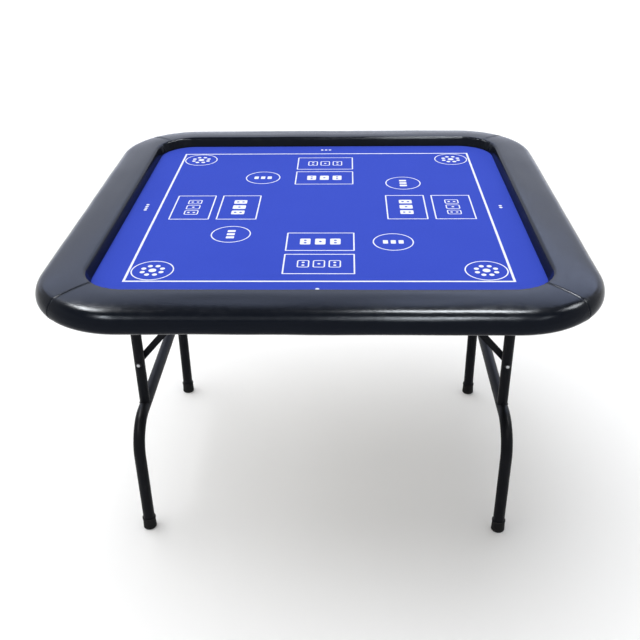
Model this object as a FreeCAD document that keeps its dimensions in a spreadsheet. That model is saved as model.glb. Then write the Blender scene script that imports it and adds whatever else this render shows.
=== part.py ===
"""Folding mahjong table: a padded square top on two leg frames that fold flat under it.

Millimetres, +Z up, +Y away from the player at the front. The origin is on the floor, below the
middle of the top. Each leg frame swings on a cross tube held in two straps under the board, and
two folding braces hold it upright.
"""
import FreeCAD, Part
import math
import os

import Sketcher
from FreeCAD import Placement, Rotation, Vector

doc = FreeCAD.newDocument("folding_mahjong_table")

# Driving dimensions, each set by itself
SIZES = {
    # Top and padded rail
    "table_height": 763.5,
    "top_side": 1136,
    "corner_radius": 196,
    "rail_width": 109,
    "rail_recess": 23.5,
    "rail_lean": 9,
    "rail_top_round": 30,
    "rail_inner_round": 8,
    "rail_crown": 4.7,
    "cover_thick": 1.5,
    "cover_return": 34,
    "board_thick": 16,
    "board_inset": 20,
    "underlay_thick": 7.5,
    "cloth_thick": 2,
    "edge_gap": 0.3,
    "core_thick": 12,
    "core_setback": 14,
    "core_rim": 13,
    # Leg frames
    "leg_inset": 131,
    "upright_spacing": 392,
    "upright_dia": 25,
    "foot_outset": 106,
    "base_dia": 28,
    "tube_wall": 1.5,
    "crossbar_drop": 414.5,
    "knee_radius": 78,
    "cope_depth": 6,
    "weld_gap": 0.1,
    "stop_gap": 0.3,
    # Hinge tube and its straps
    "hinge_dia": 22,
    "hinge_bite": 1.5,
    "hinge_overhang": 12.5,
    "hinge_gap": 1,
    "plug_length": 14,
    "plug_rim": 2.5,
    "strap_thick": 2.5,
    "strap_width": 26,
    "strap_flange": 24,
    "strap_margin": 6,
    "turn_gap": 0.15,
    # Rubber feet
    "foot_wall": 2.4,
    "foot_height": 32,
    "foot_sole": 6,
    "foot_rim": 4,
    "foot_round": 3,
    # Folding braces
    "bolt_drop": 292.5,
    "brace_reach": 227,
    "link_width": 16,
    "link_thick": 3.5,
    "link_gap": 0.4,
    "spacer_length": 4,
    "spacer_dia": 15,
    "stop_tail": 24,
    "stop_tab": 12,
    "tab_thick": 3,
    "bolt_dia": 8,
    "bolt_head_dia": 13,
    "bolt_head_height": 4.5,
    "nut_width": 13,
    "nut_height": 6,
    "rivet_dia": 6,
    "rivet_head_dia": 11,
    "rivet_head_height": 2.4,
    "pin_gap": 0.1,
    # Brackets that carry the braces
    "bracket_thick": 3,
    "bracket_width": 22,
    "bracket_length": 56,
    "bracket_flange": 26,
    "bracket_screw_inset": 8,
    # Screws
    "screw_dia": 4,
    "screw_head_dia": 8.4,
    "screw_head_height": 2.8,
    "screw_head_bevel": 1.4,
    "rail_screw_bite": 9,
    "rail_screw_inset": 92,
    "bracket_screw_length": 14,
}

# Levels and places that follow from the driving dimensions
PLACES = {
    "half": "sizes.top_side / 2",
    "corner_centre": "sizes.top_side / 2 - sizes.corner_radius",
    "opening_half": "sizes.top_side / 2 - sizes.rail_width",
    "opening_radius": "sizes.corner_radius - sizes.rail_width",
    "cloth_top": "sizes.table_height - sizes.rail_recess",
    "board_top": "places.cloth_top - sizes.cloth_thick - sizes.underlay_thick",
    "board_bottom": "places.board_top - sizes.board_thick",
    "rail_bottom": "places.board_bottom - sizes.cover_thick",
    "rail_belt": "sizes.table_height - sizes.rail_crown - sizes.rail_top_round",
    "rail_low_round": "places.rail_belt - places.rail_bottom",
    "wall_slant": "sqrt(sizes.rail_lean ^ 2 + sizes.rail_recess ^ 2)",
    "wall_sine": "sizes.rail_lean / places.wall_slant",
    "wall_cosine": "sizes.rail_recess / places.wall_slant",
    "wall_mitre": "places.wall_sine / (1 + places.wall_cosine)",
    "wall_rise": "sizes.rail_recess - sizes.rail_inner_round * (1 - places.wall_sine)",
    "wall_slope": "sizes.rail_lean / sizes.rail_recess",
    "rim_reach": "sizes.rail_inner_round * places.wall_cosine + places.wall_rise * places.wall_slope",
    "crown_reach": "sizes.rail_width - sizes.rail_top_round - places.rim_reach",
    "crown_swing": "(places.crown_reach ^ 2 + sizes.rail_crown ^ 2) / (2 * sizes.rail_crown)",
    "crown_radius": "places.crown_swing + sizes.rail_top_round",
    "crown_sine": "places.crown_reach / places.crown_swing",
    "crown_cosine": "1 - sizes.rail_crown / places.crown_swing",
    "board_half": "places.half - sizes.board_inset",
    "board_radius": "sizes.corner_radius - sizes.board_inset",
    "core_width": "sizes.rail_width - sizes.board_inset - sizes.core_rim - sizes.core_setback",
    "core_line": "places.opening_half + sizes.core_setback + places.core_width / 2",
    "rail_screw_x": "places.corner_centre - sizes.rail_screw_inset",
    "rail_screw_length": "sizes.board_thick + sizes.rail_screw_bite",
    "leg_x": "places.half - sizes.leg_inset",
    "upright_y": "sizes.upright_spacing / 2",
    "foot_y": "places.upright_y + sizes.foot_outset",
    "foot_radius": "sizes.base_dia / 2 + sizes.weld_gap + sizes.foot_wall",
    "crossbar_z": "places.board_bottom - sizes.crossbar_drop",
    "hinge_offset": "(sizes.upright_dia + sizes.hinge_dia) / 2 - sizes.hinge_bite",
    "hinge_x": "places.leg_x - places.hinge_offset",
    "hinge_z": "places.board_bottom - sizes.hinge_gap - sizes.hinge_dia / 2",
    "strap_y": "places.upright_y + sizes.upright_dia / 2 + sizes.strap_margin + sizes.strap_width / 2",
    "hinge_half": "places.strap_y + sizes.strap_width / 2 + sizes.hinge_overhang",
    "strap_radius": "sizes.hinge_dia / 2 + sizes.turn_gap",
    "strap_reach": "places.strap_radius + sizes.strap_thick + sizes.strap_flange",
    "strap_screw_x": "places.strap_radius + sizes.strap_thick + sizes.strap_flange / 2",
    "bolt_z": "places.board_bottom - sizes.bolt_drop",
    "pivot_x": "places.leg_x - sizes.brace_reach",
    "pivot_z": "places.hinge_z - places.hinge_offset",
    "brace_rise": "places.pivot_z - places.bolt_z",
    "brace_length": "sqrt(places.brace_rise ^ 2 + sizes.brace_reach ^ 2)",
    "bolt_swing": "sqrt(places.hinge_offset ^ 2 + (places.hinge_z - places.bolt_z) ^ 2)",
    "pivot_swing": "sqrt(places.hinge_offset ^ 2 + (places.hinge_x - places.pivot_x) ^ 2)",
    "fold_span": "places.bolt_swing - places.pivot_swing - sizes.pin_gap",
    "lower_link": "(places.brace_length + places.fold_span) / 2",
    "upper_link": "(places.brace_length - places.fold_span) / 2",
    "tube_side": "places.upright_y - sizes.upright_dia / 2",
    "lower_face": "places.tube_side - sizes.weld_gap - sizes.spacer_length - sizes.pin_gap",
    "lower_y": "places.lower_face - sizes.link_thick / 2",
    "upper_y": "places.lower_y - sizes.link_thick - sizes.link_gap",
    "ear_face": "places.upper_y - sizes.link_thick / 2 - sizes.link_gap",
    "ear_y": "places.ear_face - sizes.bracket_thick / 2",
    "bracket_screw_x": "sizes.bracket_length / 2 - sizes.bracket_screw_inset",
}

sheets = {}
for sheet_name in ("sizes", "places"):
    sheets[sheet_name] = doc.addObject("Spreadsheet::Sheet", sheet_name)
for row, (word, number) in enumerate(SIZES.items(), start=1):
    sheets["sizes"].set(f"A{row}", word.replace("_", " "))
    sheets["sizes"].set(f"B{row}", str(number))
    sheets["sizes"].setAlias(f"B{row}", word)
doc.recompute()
for row, (word, formula) in enumerate(PLACES.items(), start=1):
    sheets["places"].set(f"A{row}", word.replace("_", " "))
    sheets["places"].set(f"B{row}", "=" + formula)
    sheets["places"].setAlias(f"B{row}", word)
    doc.recompute()

sub_parts = []


def value(formula):
    """The number that a formula of the sheets comes to."""
    return float(sheets["places"].evalExpression(str(formula)))


def new_body(label, kept=True):
    """An empty body; kept ones are sub-parts with a file of their own."""
    body = doc.addObject("PartDesign::Body", label)
    body.Label = label
    if kept:
        sub_parts.append(body)
    return body


def new_sketch(body, name, plane, offset=None):
    """A sketch on one of the body's own origin planes, moved along its normal by offset."""
    sketch = body.newObject("Sketcher::SketchObject", name)
    support = next(f for f in body.Origin.OriginFeatures if f.Role == plane)
    sketch.AttachmentSupport = [(support, "")]
    sketch.MapMode = "FlatFace"
    if offset:
        sketch.setExpression("AttachmentOffset.Base.z", offset)
    return sketch


def bind(sketch, constraint, formula):
    """Add a driving constraint whose value follows a formula."""
    index = sketch.addConstraint(constraint)
    sketch.setExpression(f"Constraints[{index}]", str(formula))


def pin(sketch, curve, end, x, y):
    """Hold one point of a curve at the place that two formulas give."""
    for kind, axis, formula in (("DistanceX", -2, x), ("DistanceY", -1, y)):
        if str(formula) == "0":
            sketch.addConstraint(Sketcher.Constraint("PointOnObject", curve, end, axis))
        else:
            bind(sketch, Sketcher.Constraint(kind, -1, 1, curve, end, value(formula)), formula)


def draw(sketch, corners, closed=True):
    """Draw an outline through pinned corners.

    A corner is (x, y), or (x, y, radius) where an arc goes on to the next corner: counter-clockwise,
    or clockwise where the radius is written with a leading minus.
    """
    count = len(corners)
    spots = [Vector(value(corner[0]), value(corner[1]), 0) for corner in corners]
    runs = []
    for i in range(count if closed else count - 1):
        begin, finish = spots[i], spots[(i + 1) % count]
        if len(corners[i]) == 2:
            curve = sketch.addGeometry(Part.LineSegment(begin, finish))
            runs.append((curve, 1, 2))
            continue
        bulge = corners[i][2]
        clockwise = bulge.startswith("-")
        radius = value(bulge.lstrip("-"))
        chord = finish - begin
        rise = math.sqrt(max(radius ** 2 - chord.Length ** 2 / 4, 0))
        side = Vector(-chord.y, chord.x, 0).normalize() * (-rise if clockwise else rise)
        centre = (begin + finish) * 0.5 + side
        first, last = (finish, begin) if clockwise else (begin, finish)
        angles = [math.atan2(spot.y - centre.y, spot.x - centre.x) for spot in (first, last)]
        circle = Part.Circle(centre, Vector(0, 0, 1), radius)
        curve = sketch.addGeometry(Part.ArcOfCircle(circle, angles[0], angles[1]))
        runs.append((curve, 2, 1) if clockwise else (curve, 1, 2))
        bind(sketch, Sketcher.Constraint("Radius", curve, radius), bulge.lstrip("-"))
    for i, (curve, begin, finish) in enumerate(runs):
        pin(sketch, curve, begin, corners[i][0], corners[i][1])
        if closed or i + 1 < len(runs):
            after = runs[(i + 1) % len(runs)]
            sketch.addConstraint(Sketcher.Constraint("Coincident", curve, finish, after[0], after[1]))
        else:
            pin(sketch, curve, finish, corners[-1][0], corners[-1][1])


def draw_circle(sketch, radius, x="0", y="0"):
    """Draw a circle at the place that two formulas give."""
    circle = Part.Circle(Vector(value(x), value(y), 0), Vector(0, 0, 1), value(radius))
    curve = sketch.addGeometry(circle)
    bind(sketch, Sketcher.Constraint("Radius", curve, value(radius)), radius)
    if str(x) == "0" and str(y) == "0":
        sketch.addConstraint(Sketcher.Constraint("Coincident", curve, 3, -1, 1))
    else:
        pin(sketch, curve, 3, x, y)


def rounded_square(half, radius):
    """Corners of a square about the origin with rounded corners, counter-clockwise."""
    flat = f"({half} - {radius})"
    return [
        (f"-{flat}", f"-({half})"), (flat, f"-({half})", radius),
        (half, f"-{flat}"), (half, flat, radius),
        (flat, half), (f"-{flat}", half, radius),
        (f"-({half})", flat), (f"-({half})", f"-{flat}", radius),
    ]


def feature(body, kind, name, profile, **settings):
    """A feature on a profile; text settings are formulas, except named choices."""
    made = body.newObject("PartDesign::" + kind, name)
    made.Profile = profile
    for setting, worth in settings.items():
        if setting in ("Length", "Angle"):
            made.setExpression(setting, str(worth))
        else:
            setattr(made, setting, worth)
    body.Tip = made
    return made


def cut(body, name, profile, **settings):
    """A pocket that has to take material away."""
    doc.recompute()
    before = body.Shape.Volume
    made = feature(body, "Pocket", name, profile, **settings)
    doc.recompute()
    assert body.Shape.Volume < before - 1e-3, f"{name} cuts nothing"
    return made


def revolve(body, name, sketch, angle="360", axis="V_Axis", **settings):
    """Turn a profile round an axis of its own sketch."""
    return feature(body, "Revolution", name, sketch, ReferenceAxis=(sketch, [axis]), Angle=angle, **settings)


def place(body, x="0", y="0", z="0", turn=None):
    """Set a body's turn, then tie its place to the formulas."""
    body.Placement = Placement(Vector(value(x), value(y), value(z)), turn or Rotation())
    for axis, formula in (("x", x), ("y", y), ("z", z)):
        if str(formula) != "0":
            body.setExpression(f"Placement.Base.{axis}", str(formula))


def group(label, members):
    """Several loose pieces of one kind that share a node."""
    compound = doc.addObject("Part::Compound", label)
    compound.Label = label
    compound.Links = members
    sub_parts.append(compound)


def signed(sign, formula):
    return formula if sign > 0 else f"-({formula})"


# Board, underlay, cloth and the plywood ring inside the rail
SIDES = (("left", -1), ("right", 1))
ENDS = (("front", -1), ("rear", 1))

rail_screw_spots = []
for along in ("-places.rail_screw_x", "0", "places.rail_screw_x"):
    for across in ("-places.core_line", "places.core_line"):
        rail_screw_spots += [(along, across), (across, along)]
strap_screw_spots = []
bracket_screw_spots = []
for _, side in SIDES:
    for _, end in ENDS:
        for reach in ("+", "-"):
            strap_screw_spots.append((
                signed(side, f"places.hinge_x {reach} places.strap_screw_x"),
                signed(end, "places.strap_y"),
            ))
            bracket_screw_spots.append((
                signed(side, f"places.pivot_x {reach} places.bracket_screw_x"),
                signed(end, "places.ear_face - sizes.bracket_flange / 2"),
            ))


def drill(body, name, spots, **settings):
    """Screw holes into the underside of a flat piece."""
    sketch = new_sketch(body, name + "_centres", "XY_Plane")
    for x, y in spots:
        draw_circle(sketch, "sizes.screw_dia / 2 + sizes.pin_gap", x, y)
    cut(body, name, sketch, Reversed=True, **settings)


def make_board():
    board = new_body("top_board")
    outline = new_sketch(board, "board_outline", "XY_Plane")
    draw(outline, rounded_square("places.board_half", "places.board_radius"))
    feature(board, "Pad", "board_sheet", outline, Length="sizes.board_thick")
    drill(board, "rail_screw_holes", rail_screw_spots, Type="ThroughAll")
    blind = "sizes.bracket_screw_length - sizes.strap_thick + sizes.pin_gap"
    drill(board, "strap_screw_holes", strap_screw_spots, Length=blind)
    blind = "sizes.bracket_screw_length - sizes.bracket_thick + sizes.pin_gap"
    drill(board, "bracket_screw_holes", bracket_screw_spots, Length=blind)
    place(board, z="places.board_bottom")


def make_rail_core():
    core = new_body("rail_core")
    outline = new_sketch(core, "core_outline", "XY_Plane")
    inner = "(places.opening_half + sizes.core_setback)"
    inner_radius = "(places.opening_radius + sizes.core_setback)"
    draw(outline, rounded_square(f"({inner} + places.core_width)", f"({inner_radius} + places.core_width)"))
    draw(outline, rounded_square(inner, inner_radius))
    feature(core, "Pad", "core_ring", outline, Length="sizes.core_thick")
    depth = "places.rail_screw_length - sizes.board_thick + sizes.pin_gap"
    drill(core, "core_screw_holes", rail_screw_spots, Length=depth)
    place(core, z="places.board_top")


def make_sheet(label, thick, level):
    """A flat sheet that fills the opening of the rail."""
    sheet = new_body(label)
    outline = new_sketch(sheet, label + "_outline", "XY_Plane")
    half = "(places.opening_half - sizes.edge_gap)"
    draw(outline, rounded_square(half, "(places.opening_radius - sizes.edge_gap)"))
    feature(sheet, "Pad", label + "_pad", outline, Length=thick)
    place(sheet, z=level)


# Padded rail: a crowned section on each side, turned an eighth of a circle at both ends
def rail_skin(inset):
    """Rail section from the foot of its leaning inner wall over the top to its underside.

    Distances run outward from the opening; inset lies inside the outer face by the cover's thickness.
    The crown starts level at the inner rim and runs down into the outer round.
    """
    rim_round = f"(sizes.rail_inner_round - {inset})"
    outer_round = f"(sizes.rail_top_round - {inset})"
    low_round = f"(places.rail_low_round - {inset})"
    rim_level = "(sizes.table_height - sizes.rail_inner_round)"
    shoulder = "(sizes.rail_width - sizes.rail_top_round)"
    return [
        (inset, "places.board_top"),
        (inset, f"(places.cloth_top - {inset} * places.wall_mitre)"),
        (f"(places.rim_reach - {rim_round} * places.wall_cosine)",
         f"({rim_level} + {rim_round} * places.wall_sine)", f"-{rim_round}"),
        ("places.rim_reach", f"(sizes.table_height - {inset})", f"-(places.crown_radius - {inset})"),
        (f"({shoulder} + {outer_round} * places.crown_sine)",
         f"(places.rail_belt + {outer_round} * places.crown_cosine)", f"-{outer_round}"),
        (f"(sizes.rail_width - {inset})", "places.rail_belt", f"-{low_round}"),
        ("(sizes.rail_width - places.rail_low_round)", f"(places.rail_bottom + {inset})"),
    ]


def back_along(corners):
    """The same run of lines and arcs, drawn the other way."""
    turned = []
    for i in range(len(corners) - 1, -1, -1):
        spot = corners[i][:2]
        if i > 0 and len(corners[i - 1]) == 3:
            bulge = corners[i - 1][2]
            spot += (bulge.lstrip("-") if bulge.startswith("-") else "-" + bulge,)
        turned.append(spot)
    return turned


def cover_section():
    hem = "(sizes.rail_width - places.rail_low_round - sizes.cover_return)"
    outer = rail_skin("0")
    inner = back_along(rail_skin("sizes.cover_thick"))
    return outer + [(hem, "places.rail_bottom"), (hem, "places.board_bottom")] + inner


def foam_section():
    board_edge = "(sizes.rail_width - sizes.board_inset)"
    core_near = "sizes.core_setback"
    core_far = "(sizes.core_setback + places.core_width)"
    core_top = "(places.board_top + sizes.core_thick)"
    return rail_skin("sizes.cover_thick") + [
        (board_edge, "places.board_bottom"),
        (board_edge, "places.board_top"),
        (core_far, "places.board_top"),
        (core_far, core_top),
        (core_near, core_top),
        (core_near, "places.board_top"),
    ]


def make_rail_side(label, section, quarter_turns):
    """One side of the rail, from the middle of one corner to the middle of the next."""
    side = new_body(label)
    inward = [(f"-(places.opening_half + {c[0]})",) + c[1:] for c in section]
    mirrored = [c[:2] + ((c[2].lstrip("-") if c[2].startswith("-") else "-" + c[2]),) if len(c) == 3 else c
                for c in inward]
    straight = new_sketch(side, label + "_section", "YZ_Plane")
    draw(straight, mirrored)
    feature(side, "Pad", label + "_run", straight, SideType="Symmetric", Length="2 * places.corner_centre")
    bend = new_sketch(side, label + "_bend_section", "YZ_Plane", "places.corner_centre")
    draw(bend, mirrored)
    pole = bend.addGeometry(Part.LineSegment(
        Vector(-value("places.corner_centre"), 0, 0), Vector(-value("places.corner_centre"), 1, 0)), True)
    pin(bend, pole, 1, "-places.corner_centre", "0")
    pin(bend, pole, 2, "-places.corner_centre", "sizes.board_thick")
    turned = revolve(side, label + "_bend", bend, angle="45", axis="Axis0")
    doc.recompute()
    far_end = side.newObject("PartDesign::Mirrored", label + "_far_bend")
    far_end.Originals = [turned]
    far_end.MirrorPlane = (next(f for f in side.Origin.OriginFeatures if f.Role == "YZ_Plane"), [""])
    side.Tip = far_end
    place(side, turn=Rotation(Vector(0, 0, 1), 90 * quarter_turns))


def make_screw(label, length, spot, level):
    """A pan-head screw that points up from the face it is driven into."""
    screw = new_body(label, kept=False)
    half_section = new_sketch(screw, label + "_section", "XZ_Plane")
    draw(half_section, [
        ("0", "-sizes.screw_head_height"),
        ("sizes.screw_head_dia / 2 - sizes.screw_head_bevel", "-sizes.screw_head_height"),
        ("sizes.screw_head_dia / 2", "sizes.screw_head_bevel - sizes.screw_head_height"),
        ("sizes.screw_head_dia / 2", "0"),
        ("sizes.screw_dia / 2", "0"),
        ("sizes.screw_dia / 2", length),
        ("0", length),
    ])
    revolve(screw, label + "_turned", half_section)
    place(screw, x=spot[0], y=spot[1], z=level)
    return screw


def screws(label, length, spots, level):
    group(label, [make_screw(f"{label}_{i}", length, spot, level) for i, spot in enumerate(spots)])


# Leg frames
def make_base_frame(name, side):
    """The lower legs and the crossbar: one tube, bent over at two knees."""
    frame = new_body(f"{name}_base_frame")
    end = new_sketch(frame, f"{name}_base_end", "XY_Plane", "sizes.foot_sole")
    draw_circle(end, "sizes.base_dia / 2", "0", "-places.foot_y")
    draw_circle(end, "sizes.base_dia / 2 - sizes.tube_wall", "0", "-places.foot_y")
    route = new_sketch(frame, f"{name}_base_route", "YZ_Plane")
    bend_y = "(places.foot_y - sizes.knee_radius)"
    bend_z = "(places.crossbar_z - sizes.knee_radius)"
    draw(route, [
        ("-places.foot_y", "sizes.foot_sole"),
        ("-places.foot_y", bend_z, "-sizes.knee_radius"),
        (f"-{bend_y}", "places.crossbar_z"),
        (bend_y, "places.crossbar_z", "-sizes.knee_radius"),
        ("places.foot_y", bend_z),
        ("places.foot_y", "sizes.foot_sole"),
    ], closed=False)
    feature(frame, "AdditivePipe", f"{name}_base_tube", end, Spine=route)
    place(frame, x=signed(side, "places.leg_x"))


def make_upright(name, side, end_name, end):
    """A tube between the crossbar and the board, coped where it meets the crossbar and the hinge tube."""
    label = f"{name}_{end_name}_upright"
    upright = new_body(label)
    ring = new_sketch(upright, label + "_ring", "XY_Plane", "places.crossbar_z + sizes.cope_depth")
    draw_circle(ring, "sizes.upright_dia / 2")
    draw_circle(ring, "sizes.upright_dia / 2 - sizes.tube_wall")
    length = "places.board_bottom - sizes.stop_gap - places.crossbar_z - sizes.cope_depth"
    feature(upright, "Pad", label + "_tube", ring, Length=length)
    copes = new_sketch(upright, label + "_copes", "XZ_Plane")
    draw_circle(copes, "sizes.base_dia / 2 + sizes.weld_gap", "0", "places.crossbar_z")
    hinge_spot = (signed(-side, "places.hinge_offset"), "places.hinge_z")
    draw_circle(copes, "sizes.hinge_dia / 2 + sizes.weld_gap", *hinge_spot)
    draw_circle(copes, "sizes.bolt_dia / 2 + sizes.pin_gap", "0", "places.bolt_z")
    cut(upright, label + "_cuts", copes, Type="ThroughAll", SideType="Symmetric")
    place(upright, x=signed(side, "places.leg_x"), y=signed(end, "places.upright_y"))


def make_hinge_tube(name, side):
    tube = new_body(f"{name}_hinge_tube")
    ring = new_sketch(tube, f"{name}_hinge_ring", "XZ_Plane")
    draw_circle(ring, "sizes.hinge_dia / 2")
    draw_circle(ring, "sizes.hinge_dia / 2 - sizes.tube_wall")
    feature(tube, "Pad", f"{name}_hinge_pad", ring, SideType="Symmetric", Length="2 * places.hinge_half")
    place(tube, x=signed(side, "places.hinge_x"), z="places.hinge_z")


def make_hinge_plugs(name, side):
    """Push-in plugs with a flat rim that close the ends of the hinge tube."""
    plugs = []
    for end_name, end in ENDS:
        plug = new_body(f"{name}_{end_name}_plug", kept=False)
        half_section = new_sketch(plug, f"{name}_{end_name}_plug_section", "XY_Plane")
        bore = "sizes.hinge_dia / 2 - sizes.tube_wall - sizes.pin_gap"
        draw(half_section, [
            ("0", "-sizes.plug_length"),
            (bore, "-sizes.plug_length"),
            (bore, "0"),
            ("sizes.hinge_dia / 2", "0"),
            ("sizes.hinge_dia / 2", "sizes.plug_rim / 2"),
            ("sizes.hinge_dia / 2 - sizes.plug_rim / 2", "sizes.plug_rim"),
            ("0", "sizes.plug_rim"),
        ])
        revolve(plug, f"{name}_{end_name}_plug_turned", half_section)
        turn = Rotation(Vector(0, 0, 1), 0 if end > 0 else 180)
        place(plug, signed(side, "places.hinge_x"), signed(end, "places.hinge_half"), "places.hinge_z", turn)
        plugs.append(plug)
    group(f"{name}_hinge_plugs", plugs)


def make_foot(name, side, end_name, end):
    """A rubber cup with a thick sole, a beaded rim and a rounded bottom edge."""
    label = f"{name}_{end_name}_foot"
    foot = new_body(label)
    half_section = new_sketch(foot, label + "_section", "XZ_Plane")
    bore = "(sizes.base_dia / 2 + sizes.weld_gap)"
    wall = "(places.foot_radius - sizes.foot_rim / 4)"
    draw(half_section, [
        ("0", "0"),
        ("places.foot_radius - sizes.foot_round", "0", "sizes.foot_round"),
        ("places.foot_radius", "sizes.foot_round"),
        (wall, "sizes.foot_height - sizes.foot_rim"),
        ("places.foot_radius", "sizes.foot_height - sizes.foot_rim"),
        ("places.foot_radius", "sizes.foot_height - sizes.foot_rim / 4"),
        (wall, "sizes.foot_height"),
        (bore, "sizes.foot_height"),
        (bore, "sizes.foot_sole"),
        ("0", "sizes.foot_sole"),
    ])
    revolve(foot, label + "_turned", half_section)
    place(foot, x=signed(side, "places.leg_x"), y=signed(end, "places.foot_y"))


def make_strap(name, side, end_name, end):
    """A bent steel strap that holds the hinge tube up to the board, with a flange and screw on each side."""
    label = f"{name}_{end_name}_hinge_strap"
    strap = new_body(label)
    bow = "(places.strap_radius + sizes.strap_thick)"
    top = "(places.board_bottom - places.hinge_z)"
    ledge = f"({top} - sizes.strap_thick)"
    section = new_sketch(strap, label + "_section", "XZ_Plane")
    draw(section, [
        ("-places.strap_reach", top),
        ("-places.strap_reach", ledge),
        (f"-{bow}", ledge),
        (f"-{bow}", "0", bow),
        ("0", f"-{bow}", bow),
        (bow, "0"),
        (bow, ledge),
        ("places.strap_reach", ledge),
        ("places.strap_reach", top),
        ("places.strap_radius", top),
        ("places.strap_radius", "0", "-places.strap_radius"),
        ("0", "-places.strap_radius", "-places.strap_radius"),
        ("-places.strap_radius", "0"),
        ("-places.strap_radius", top),
    ])
    feature(strap, "Pad", label + "_band", section, SideType="Symmetric", Length="sizes.strap_width")
    holes = new_sketch(strap, label + "_hole_centres", "XY_Plane")
    for reach in ("places.strap_screw_x", "-places.strap_screw_x"):
        draw_circle(holes, "sizes.screw_dia / 2 + sizes.pin_gap", reach)
    cut(strap, label + "_holes", holes, Type="ThroughAll", SideType="Symmetric")
    place(strap, signed(side, "places.hinge_x"), signed(end, "places.strap_y"), "places.hinge_z")


# Folding braces: flat links in layers beside the uprights
BRACE_ANGLE = math.degrees(math.atan2(value("places.brace_rise"), value("sizes.brace_reach")))


def side_turn(side):
    return Rotation(Vector(0, 0, 1), 0 if side > 0 else 180)


def link_outline(length, tail="0"):
    """A bar with round ends about its two pivots, drawn out past the far pivot by tail."""
    half = "sizes.link_width / 2"
    far = f"({length} + {tail})"
    return [
        ("0", f"-{half}"),
        (far, f"-{half}", half),
        (f"({far} + {half})", "0", half),
        (far, half),
        ("0", half, half),
        (f"-{half}", "0", half),
    ]


def make_lower_link(name, side, end_name, end):
    label = f"{name}_{end_name}_lower_brace"
    link = new_body(label)
    outline = new_sketch(link, label + "_outline", "XZ_Plane")
    draw(outline, link_outline("places.lower_link"))
    draw_circle(outline, "sizes.bolt_dia / 2 + sizes.pin_gap")
    draw_circle(outline, "sizes.rivet_dia / 2 + sizes.pin_gap", "places.lower_link")
    feature(link, "Pad", label + "_bar", outline, SideType="Symmetric", Length="sizes.link_thick")
    turn = side_turn(side) * Rotation(Vector(0, 1, 0), BRACE_ANGLE - 180)
    place(link, signed(side, "places.leg_x"), signed(end, "places.lower_y"), "places.bolt_z", turn)


def make_upper_link(name, side, end_name, end):
    """The upper bar, with a tail whose bent tab stops the elbow when the brace is straight."""
    label = f"{name}_{end_name}_upper_brace"
    link = new_body(label)
    outline = new_sketch(link, label + "_outline", "XZ_Plane")
    half = "(sizes.link_width / 2)"
    lug = f"({half} + sizes.pin_gap + sizes.tab_thick)"
    tab_start = "(places.upper_link + sizes.stop_tail - sizes.stop_tab)"
    tab_end = "(places.upper_link + sizes.stop_tail)"
    draw(outline, [
        ("0", f"-{half}"),
        (tab_end, f"-{half}"),
        (tab_end, lug),
        (tab_start, lug),
        (tab_start, half),
        ("0", half, half),
        (f"-{half}", "0", half),
    ])
    draw_circle(outline, "sizes.rivet_dia / 2 + sizes.pin_gap")
    draw_circle(outline, "sizes.rivet_dia / 2 + sizes.pin_gap", "places.upper_link")
    feature(link, "Pad", label + "_bar", outline, SideType="Symmetric", Length="sizes.link_thick")
    tab = new_sketch(link, label + "_tab_outline", "XZ_Plane")
    draw(tab, [
        (tab_start, f"({half} + sizes.pin_gap)"),
        (tab_end, f"({half} + sizes.pin_gap)"),
        (tab_end, lug),
        (tab_start, lug),
    ])
    reach = "sizes.link_thick / 2 + sizes.link_gap + sizes.link_thick"
    feature(link, "Pad", label + "_tab", tab, Reversed=side * end > 0, Length=reach)
    turn = side_turn(side) * Rotation(Vector(0, 1, 0), BRACE_ANGLE)
    place(link, signed(side, "places.pivot_x"), signed(end, "places.upper_y"), "places.pivot_z", turn)


def make_bracket(name, side, end_name, end):
    """An angle bracket: a flange under the board and a tapered ear that carries the brace."""
    label = f"{name}_{end_name}_brace_bracket"
    bracket = new_body(label)
    top = "(places.board_bottom - places.pivot_z)"
    bend = f"({top} - sizes.bracket_thick)"
    half = "sizes.bracket_width / 2"
    ear = new_sketch(bracket, label + "_ear_outline", "XZ_Plane")
    draw(ear, [
        ("0", f"-{half}", half),
        (half, "0"),
        ("sizes.bracket_length / 2", bend),
        ("sizes.bracket_length / 2", top),
        ("-sizes.bracket_length / 2", top),
        ("-sizes.bracket_length / 2", bend),
        (f"-{half}", "0", half),
    ])
    draw_circle(ear, "sizes.rivet_dia / 2 + sizes.pin_gap")
    feature(bracket, "Pad", label + "_ear", ear, SideType="Symmetric", Length="sizes.bracket_thick")
    flange = new_sketch(bracket, label + "_flange_outline", "XY_Plane", bend)
    near = signed(-end, "-sizes.bracket_thick / 2")
    far = signed(-end, "sizes.bracket_flange - sizes.bracket_thick / 2")
    draw(flange, [
        ("-sizes.bracket_length / 2", near),
        ("sizes.bracket_length / 2", near),
        ("sizes.bracket_length / 2", far),
        ("-sizes.bracket_length / 2", far),
    ])
    feature(bracket, "Pad", label + "_flange", flange, Length="sizes.bracket_thick")
    holes = new_sketch(bracket, label + "_hole_centres", "XY_Plane", bend)
    middle = signed(-end, "sizes.bracket_flange / 2 - sizes.bracket_thick / 2")
    for reach in ("places.bracket_screw_x", "-places.bracket_screw_x"):
        draw_circle(holes, "sizes.screw_dia / 2 + sizes.pin_gap", reach, middle)
    cut(bracket, label + "_holes", holes, Type="ThroughAll", Reversed=True)
    place(bracket, signed(side, "places.pivot_x"), signed(end, "places.ear_y"), "places.pivot_z")


def domed(head, rise, shank, start, finish):
    """Half section of a headed pin: the dome at start, the shank on to finish, axis upright."""
    return [
        ("0", f"({start} - {rise})"),
        (f"0.45 * {head}", f"({start} - 0.6 * {rise})"),
        (f"{head} / 2", start),
        (f"{shank} / 2", start),
        (f"{shank} / 2", finish),
        ("0", finish),
    ]


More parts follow.
